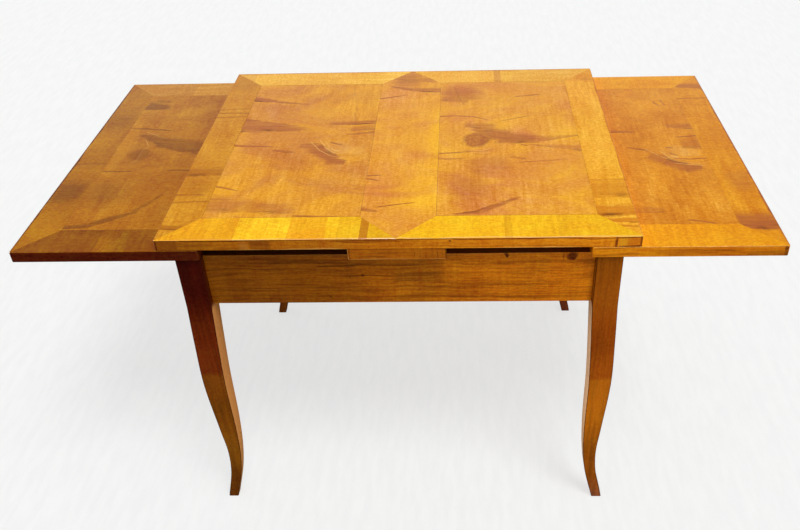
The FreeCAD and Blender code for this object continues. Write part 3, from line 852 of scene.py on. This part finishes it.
# A painted highlight: a cream line along the front rim. A painted shade: a dark line along the back
# rim.
FRONT_RIM_HIGHLIGHT = [(-460, -369.7, 460, -369.7, 1.3, 1.3, -1)]
BACK_RIM_SHADE = [(460, 369.5, -460, 369.5, 2, 2, 0.8)]
AMBER = (0.94, 0.76, 0.5, 1)
GOLDEN = (0.97, 0.8, 0.8, 1)
FRONT_LEFT_SHEETS = [
    (-455, AMBER), (-305, 1.03), (-205, GOLDEN), (-135, 1.04), (-112, warm(0.06)),
    (-70, warm(0.4)), (-54, warm(0.12)), (0, 1),
]
FRONT_RIGHT_SHEETS = [
    (0, 1.03), (200, warm(0.1)), (215, 1.02), (300, warm(0.04)), (385, warm(0.02)), (455, 1),
]
BACK_LEFT_SHEETS = [(-455, warm(0.1)), (-402, 1.02), (-185, 1.05), (0, 1)]
BACK_RIGHT_SHEETS = [(0, 1.04), (206, warm(0.18)), (222, 1), (250, warm(0.03)), (455, 1)]
# The front border's tones are brighter and yellower than the back's: wood colour with a painted sheen
# where its grain catches the light.
FRONT_BORDER_WITH_SHEEN = ((255, 208, 24), (250, 174, 10))
BORDER_BACK = ((255, 198, 66), (242, 168, 48))
BORDER_HEARTS = {
    "top_border_veneer_left": (174, 96, 8), "top_border_veneer_right": (208, 114, 8),
}
TOP_GRAIN = {"panel": (0.05, 0.78), "band": (0.06, 0.72), "border": (0.2, 1)}  # growth, curl
TOP_VENEERS = {
    # veneer: pale and deep tone, streaks, washes, sheets and knots
    "top_panel_veneer_left": (
        (250, 177, 30), (208, 124, 60), LEFT_PANEL_STREAKS, LEFT_PANEL_WASHES, (),
        [(-150, -26, 9, 0, 0.3)],
    ),
    "top_panel_veneer_right": (
        (255, 188, 32), (222, 132, 60), RIGHT_PANEL_STREAKS, RIGHT_PANEL_WASHES, (),
        [(155, -3, 28, 0.78, 0)],
    ),
    "top_band_veneer": ((255, 186, 36), (226, 138, 60), BAND_STREAKS, BAND_WASHES),
    "top_border_veneer_left": ((230, 160, 30), (202, 122, 14), LEFT_END_STREAKS),
    "top_border_veneer_right": ((255, 190, 46), (244, 160, 30), RIGHT_END_STREAKS),
    "top_border_veneer_front_left": (*FRONT_BORDER_WITH_SHEEN, FRONT_RIM_HIGHLIGHT, (), FRONT_LEFT_SHEETS),
    "top_border_veneer_front_right": (*FRONT_BORDER_WITH_SHEEN, FRONT_RIM_HIGHLIGHT, (), FRONT_RIGHT_SHEETS),
    "top_border_veneer_back_left": (*BORDER_BACK, BACK_RIM_SHADE, (), BACK_LEFT_SHEETS),
    "top_border_veneer_back_right": (*BORDER_BACK, BACK_RIM_SHADE, (), BACK_RIGHT_SHEETS),
}
for node, figure in TOP_VENEERS.items():
    grain = TOP_GRAIN[node.split("_")[1]]
    lay_veneer(node, TOP_RIM, BORDER_HEARTS.get(node, HEART), grain, *figure)


# ---------------------------------------------------------------- draw leaves
# Each leaf is a board with a cleat at both ends, veneered as the top is, with a
# border on the three sides that show when it is drawn. The left leaf and its
# edges are darker and redder than the right one: partly stain, partly painted
# shade, as the light falls off towards the left.

LEFT_LEAF_STREAKS = [
    # x, y, x, y, half widths, strength
    (-660, 244, -596, 232, 26, 9, 0.62), (-644, 266, -600, 262, 14, 6, 0.35),
    (-664, 122, -556, 106, 3, 3, 0.6), (-628, 84, -580, 66, 6, 16, 0.5),
    (-606, 74, -540, 44, 14, 26, 0.5), (-572, 54, -455, 24, 24, 32, 0.55),
    (-664, -70, -590, -68, 3, 2, 0.6), (-520, -70, -460, -72, 2, 3, 0.6),
    (-676, -180, -560, -160, 70, 60, 0.45), (-672, -290, -612, -282, 5, 8, 0.65),
    (-618, -283, -572, -256, 8, 10, 0.65), (-578, -258, -528, -232, 9, 3, 0.6),
    (-616, 100, -580, 76, 1.4, 1.6, -0.3), (-610, 60, -590, 24, 1.4, 1.4, -0.3),
    (-606, -28, -590, 22, 1.4, 1.4, -0.25), (-540, -236, -500, -168, 6, 3, 0.4),
]
LEFT_LEAF_END_STREAKS = [
    (-745, 160, -655, 160, 54, 50, 0.25), (-745, -160, -655, -158, 52, 50, 0.6),
    (-745, -40, -655, -40, 4, 3, 0.4), (-732, -372, -732, 372, 2.6, 2.6, 1),
]
RIGHT_LEAF_STREAKS = [
    (590, 102, 662, 97, 9, 16, 0.62), (600, 44, 662, 52, 3, 4, 0.85), (604, 12, 662, 16, 22, 26, 0.4),
    (580, -44, 612, -53, 2, 3, 0.85), (606, -53, 662, -50, 3, 2, 0.8),
    (632, -90, 590, -92, 10, 18, 0.85), (604, -92, 552, -60, 18, 20, 0.75),
    (560, -56, 526, -36, 22, 16, 0.7), (570, -4, 586, -8, 3, 2, 1), (574, -26, 592, -28, 3, 2, 0.9),
    (524, -4, 550, -36, 1.2, 1.6, -0.4), (552, -40, 590, -62, 1.5, 1.3, -0.45),
    (588, -62, 640, -76, 1.3, 1.1, -0.4), (552, -16, 572, -44, 1.3, 2, -0.45),
    (574, -34, 590, -40, 3, 4, -0.6), (598, -20, 640, -26, 16, 18, -0.2),
    (576, -66, 640, -84, 1.4, 1.4, -0.5), (486, 2, 532, -12, 3, 4, 0.7), (460, 78, 518, 72, 8, 3, 0.75),
    (556, -284, 606, -297, 3, 3, 0.8), (588, 228, 598, 200, 3, 2, 0.7), (606, 236, 612, 206, 2, 3, 0.7),
    (440, -246, 520, -250, 14, 10, 0.4),
]
RIGHT_LEAF_END_STREAKS = [
    (644, -288, 735, -290, 26, 28, 0.95), (652, 316, 735, 306, 12, 16, 0.75),
    (644, 240, 735, 242, 3, 3, 0.6), (660, -150, 735, -140, 40, 50, 0.4),
    (719.5, -372, 719.5, 372, 2.6, 2.6, 1),
]
LEFT_LEAF_WASHES = [
    # x, y, half length, half width, how much deeper
    (-650, 60, 22, 150, -0.6), (-480, 160, 30, 120, 0.2), (-480, -250, 40, 60, 0.5),
    (-560, 200, 50, 60, -0.2),
]
RIGHT_LEAF_WASHES = [
    (525, -130, 40, 70, -0.4), (600, -250, 60, 60, -0.4), (560, 230, 100, 70, -0.3),
    (500, -30, 30, 60, 0.2), (622, -32, 34, 34, -0.6),
]
LEAF_VENEERS = {
    # veneer: pale and deep tone, streaks, washes, sheets and knots
    "left_leaf_panel_veneer": (
        (206, 136, 20), (174, 98, 8), LEFT_LEAF_STREAKS, LEFT_LEAF_WASHES, (),
        [(-600, -4, 21, 0.35, 0)],
    ),
    "left_leaf_border_veneer_outer": (
        (196, 128, 6), (172, 100, 4), LEFT_LEAF_END_STREAKS,
        [(-700, -290, 50, 70, -0.2), (-700, 60, 40, 90, -0.3)],
    ),
    "left_leaf_border_veneer_front": (
        (172, 107, 2), (142, 77, 1), (), [(-600, -340, 70, 40, -0.5), (-400, -340, 50, 50, 0.5)],
        [(-735, warm(0.1)), (-640, warm(0.2)), (-575, 1.05), (-540, 1), (-374, 1)],
    ),
    "left_leaf_border_veneer_back": (
        (222, 154, 44), (198, 128, 28), (), (), [(-735, warm(0.06)), (-560, 1.04), (-374, 1)],
    ),
    "right_leaf_panel_veneer": (
        (240, 158, 32), (210, 122, 22), RIGHT_LEAF_STREAKS, RIGHT_LEAF_WASHES, (),
        [(588, -24, 10, 0, 0.25)],
    ),
    "right_leaf_border_veneer_outer": (
        (242, 162, 22), (220, 132, 12), RIGHT_LEAF_END_STREAKS, [(700, -200, 30, 60, 0.5)],
    ),
    "right_leaf_border_veneer_front": (
        (255, 180, 16), (242, 152, 6), (), (), [(362, 1), (604, warm(0.06)), (722, 1)],
    ),
    "right_leaf_border_veneer_back": (
        (255, 180, 16), (242, 152, 6), (), (), [(362, 1), (480, warm(0.06)), (722, 1)],
    ),
}
LEAF_GRAIN = {"panel": (0.05, 0.85), "border": (0.18, 0.85)}  # growth, curl
LEAF_EDGE_STREAKS = [
    # x, height, x, height, half widths, strength
    (462, 744, 730, 744, 0.9, 0.9, -0.25), (466, 732, 730, 730, 6, 8, 0.25),
    (362, 728, 460, 730, 3, 2, 0.4), (362, 744, 460, 744, 1.2, 1.2, 0.5),
    (500, 738, 640, 736, 1, 2, 0.5), (640, 729, 728, 731, 3, 8, 0.5), (716, 720, 716, 748, 4, 4, 0.9),
]
# The left leaf's edge is painted far darker than the right one's, partly as painted shade from the
# light on the right.
LEAF_EDGES = {
    "left_leaf": ((98, 29, 3), (70, 17, 1)), "right_leaf": ((255, 160, 8), (228, 118, 2)),
}
for node, figure in LEAF_VENEERS.items():
    heart = HEART if node.startswith("right") else HEART_DARK
    lay_veneer(node, DARK_ARRIS, heart, LEAF_GRAIN[node.split("_")[2]], *figure)
bearer_wood = sawn_wood("bearers", "X", (212, 176, 124), (170, 126, 78))
for leaf, tones in LEAF_EDGES.items():
    board_wood = lay_edge(
        leaf + "_core", BOARD_EASED, "X", *tones, HEART_DARK, LEAF_EDGE_STREAKS, 190,
    )
    dress(board_wood, DARK_ARRIS, BOARD_EASED, leaf + "_cleat_inner", leaf + "_cleat_outer")
    for bearer in ("bearer_front", "bearer_back", "stop_blocks"):
        dress(bearer_wood, SAWN_ARRIS, SAWN_EASED, f"{leaf}_{bearer}")


# ---------------------------------------------------------------- screws
# Slotted countersunk steel screws hold the top to the centre board and each leaf
# to its bearers. They are dull with age, with a little rust in patches.

HEAD_RADIUS = 0.0042
HEAD_HEIGHT = 0.0028
SHANK_RADIUS = 0.0021
SLOT_WIDTH = 0.0011
SLOT_DEPTH = 0.0011
PLAIN_SHANK = 0.016
POINT_LENGTH = 0.006
THREAD_PITCH = 0.0019
THREAD_DEPTH = 0.0005
STEPS_A_TURN = 10
SCREW_SIDES = 28
SCREW_CREASE = 30
SLOT_TURN = 1.3
RUST_DEPTH = 0.0002


def aged_steel(name):
    """Old steel: dull, with rust in patches that are the peaks of noise."""
    material, shader, place, _ = start_material(name)
    rust = faded(clouds(place, 500, 4, 0.65), 0.5, 0.68)
    connect(shader, {
        "Base Color": blended(rust, (128, 124, 118), (96, 58, 36)),
        "Metallic": maths("SUBTRACT", 0.9, rust), "Roughness": times(rust, 0.35, 0.4),
        "Normal": bumped(rust, 0.3, RUST_DEPTH),
    })
    return material


def ring(radius, angle, height):
    """Points round the screw's axis at an angle, a radius and a height."""
    height = np.broadcast_to(height, np.broadcast(radius, angle).shape)
    return np.stack([radius * np.cos(angle), radius * np.sin(angle), height], axis=-1)


def make_screw(length):
    """Points and faces of one screw, standing on its head. The head is a cone above its
    slot, and two cheeks stand under the cone, each between an arc and the slot's side.
    The thread is cut into the shank by its depth times the share of the turn that lies
    between a point and the crest, where the turn is height over pitch less the angle."""
    cone_radius = HEAD_RADIUS - SLOT_DEPTH * ((HEAD_RADIUS - SHANK_RADIUS) / HEAD_HEIGHT)
    shank = np.arange(HEAD_HEIGHT, length, THREAD_PITCH / STEPS_A_TURN)
    height = np.concatenate([[SLOT_DEPTH], shank, [length]])[:, None]
    angle = np.linspace(0, 2 * pi, SCREW_SIDES, endpoint=False)
    from_crest = 1 - np.abs((height / THREAD_PITCH - angle / (2 * pi)) % 1 * 2 - 1)
    cut = THREAD_DEPTH * np.clip((height - PLAIN_SHANK) / THREAD_PITCH, 0, 1)
    taper = np.clip((length - height) / POINT_LENGTH, 0.03, 1)
    radius = taper * (SHANK_RADIUS - cut * from_crest)
    radius[0] = cone_radius
    points = [ring(radius, angle, height).reshape(-1, 3)]
    faces = ring_faces(len(height), SCREW_SIDES)
    for half_turn in (0, pi):
        before = sum(len(part) for part in points)
        faces += [[before + spot for spot in face] for face in ring_faces(2, SCREW_SIDES // 2)]
        for level, radius in ((0, HEAD_RADIUS), (SLOT_DEPTH, cone_radius)):
            start = np.arcsin(SLOT_WIDTH / 2 / radius)
            arc = half_turn + np.linspace(start, pi - start, SCREW_SIDES // 2)
            points.append(ring(radius, arc, level))
    return np.concatenate(points), faces


def make_screws(node, body, seats):
    """All the screws of one node, their slots turned every way as a hand leaves them."""
    low, high = (np.array(corner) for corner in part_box(node))
    screw, faces = make_screw(high[2] - low[2])
    all_points, all_faces = [], []
    for number, (right, back) in enumerate(seats):
        seat = np.where((right, back, False), high - HEAD_RADIUS, low + HEAD_RADIUS)
        seat[2] = low[2]
        turn = SLOT_TURN * number + seat[0]
        turned = np.array([[cos(turn), sin(turn), 0], [-sin(turn), cos(turn), 0], [0, 0, 1]])
        before = number * len(screw)
        all_faces += [[before + spot for spot in face] for face in faces]
        all_points.append(screw @ turned + seat)
    points = np.concatenate(all_points)
    piece = mesh_piece(node + "_slotted", points, all_faces, STEEL, SCREW_CREASE)
    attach(piece, body)
    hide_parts(node)


STEEL = aged_steel("aged_steel")
FOUR_CORNERS = [(False, False), (False, True), (True, False), (True, True)]
make_screws("top_screws", "table_frame", [(False, False), (True, True)])
make_screws("left_leaf_bearer_screws", "left_leaf", FOUR_CORNERS)
make_screws("right_leaf_bearer_screws", "right_leaf", FOUR_CORNERS)


# ---------------------------------------------------------------- studio
# A pale floor with soft light from the right and above, and a dimmer sky all
# round. The floor and the room show white behind the table; the shadow stays.

CAMERA_PLACE = (0.1233, -1.6156, 1.6529)
YAW = radians(-2.43)
TILT = radians(34.38)
ROLL = radians(-1.95)
FRAME_WIDTH, FRAME_HEIGHT = 800, 530
FOCAL_LENGTH = 831.638           # in pixels of the frame
OPTICAL_CENTRE = (433.5, 224.2)
SENSOR_WIDTH = 36
FLOOR_HALF_SIZE = 12
FLOOR_GLOW = 0.63
FLOOR_CREASE = 30
ROOM_WHITE = 0.92
ROOM_LIGHT = 0.5


def add_camera():
    """The camera, turned by its yaw, its tilt down and its roll."""
    forward = Vector((sin(YAW) * cos(TILT), cos(YAW) * cos(TILT), -sin(TILT)))
    level = Vector((cos(YAW), -sin(YAW), 0))
    above = level.cross(forward)
    right = cos(ROLL) * level + sin(ROLL) * above
    up = cos(ROLL) * above - sin(ROLL) * level
    lens = bpy.data.cameras.new("camera")
    lens.sensor_width = SENSOR_WIDTH
    lens.lens = FOCAL_LENGTH * SENSOR_WIDTH / FRAME_WIDTH
    lens.shift_x = (FRAME_WIDTH / 2 - OPTICAL_CENTRE[0]) / FRAME_WIDTH
    lens.shift_y = (OPTICAL_CENTRE[1] - FRAME_HEIGHT / 2) / FRAME_WIDTH
    camera = placed("camera", lens)
    turn = Matrix((right, up, -forward)).transposed()
    camera.matrix_world = Matrix.Translation(CAMERA_PLACE) @ turn.to_4x4()
    bpy.context.scene.camera = camera


def add_lamp(name, towards, spread, strength):
    """A lamp far away and broad, so that it lights the whole floor evenly."""
    light = bpy.data.lights.new(name, "SUN")
    light.angle = radians(spread)
    light.energy = strength
    turn = Vector(towards).to_track_quat("Z", "Y")
    placed(name, light).matrix_world = turn.to_matrix().to_4x4()


def add_floor():
    """A pale painted floor, whiter to the eye than to the light that it throws back."""
    material, shader, place, _ = start_material("floor")
    brushed = clouds(stretched(place, 3, 0.6), 16, 5, 0.6)
    paint = blended(faded(brushed, 0.3, 0.7), (148, 150, 148), (140, 142, 141))
    path = put("LightPath", tree=material.node_tree).outputs
    thrown = blended(path["Is Glossy Ray"], (150, 148, 144), (50, 46, 40))
    glow = times(path["Is Camera Ray"], FLOOR_GLOW)
    connect(shader, {
        "Base Color": blended(path["Is Camera Ray"], thrown, paint), "Roughness": 0.9,
        "Specular IOR Level": 0, "Emission Strength": 1,
        "Emission Color": put("CombineColor", {0: glow, 1: glow, 2: glow}).outputs[0],
    })
    corners = FLOOR_HALF_SIZE * np.array([(-1, -1, 0), (1, -1, 0), (1, 1, 0), (-1, 1, 0)])
    mesh_piece("floor", corners, [[0, 1, 2, 3]], material, FLOOR_CREASE)


def add_room():
    """Even light from all round. The eye sees it white, and the polish a wall, dark above."""
    world = bpy.data.worlds.new("room")
    world.use_nodes = True
    seen = put("TexCoord", tree=world.node_tree).outputs
    wall = faded(split(seen["Generated"])["Z"], 0.3, 0.55, 0.55, 0)
    path = put("LightPath", tree=world.node_tree).outputs
    level = times(path["Is Glossy Ray"], maths("SUBTRACT", wall, ROOM_LIGHT), ROOM_LIGHT)
    level = times(path["Is Camera Ray"], maths("SUBTRACT", ROOM_WHITE, level), level)
    background = world.node_tree.nodes["Background"]
    connect(background, {"Strength": level, "Color": (1, 1, 1, 1)})
    bpy.context.scene.world = world


add_camera()
add_floor()
add_room()
add_lamp("window", (0.3, -0.4, 1), 22, 1.63)
add_lamp("far window", (1, -0.2, 0.24), 50, 0.75)
add_lamp("doorway", (-1, 0.3, 0.02), 12, 2.6)
bpy.context.scene.view_settings.view_transform = "Standard"
